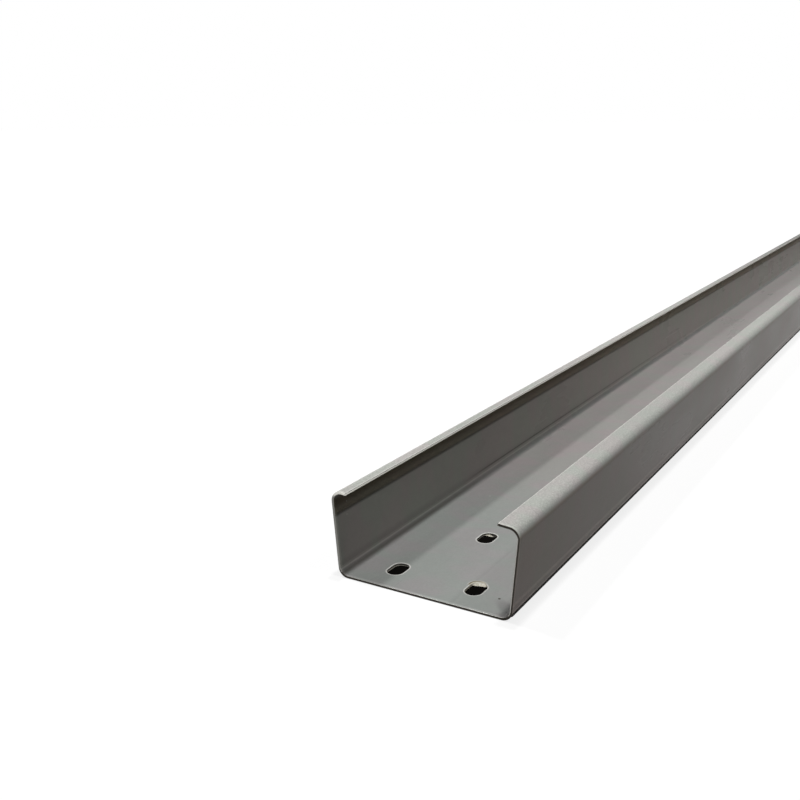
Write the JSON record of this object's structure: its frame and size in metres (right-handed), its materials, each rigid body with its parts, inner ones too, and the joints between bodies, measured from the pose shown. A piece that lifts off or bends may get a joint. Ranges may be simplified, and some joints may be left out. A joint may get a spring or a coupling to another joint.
{
  "type": "c purlin",
  "caption": "Cold-formed lipped C channel purlin in plain steel, a roof or wall rail with slotted bolt holes punched through its web near each end.",
  "frame": {"origin": "on the outer face of the web, on its centre line, halfway along the length", "axes": "+X along the length, +Y across the web, +Z from the web up to the lips"},
  "size_m": [6, 0.1605, 0.0747],
  "materials": {
    "steel": "dull mill-finish strip with faint lengthwise rolling lines"
  },
  "bodies": {
    "root": {"c_purlin": "steel"}
  },
  "joints": []
}
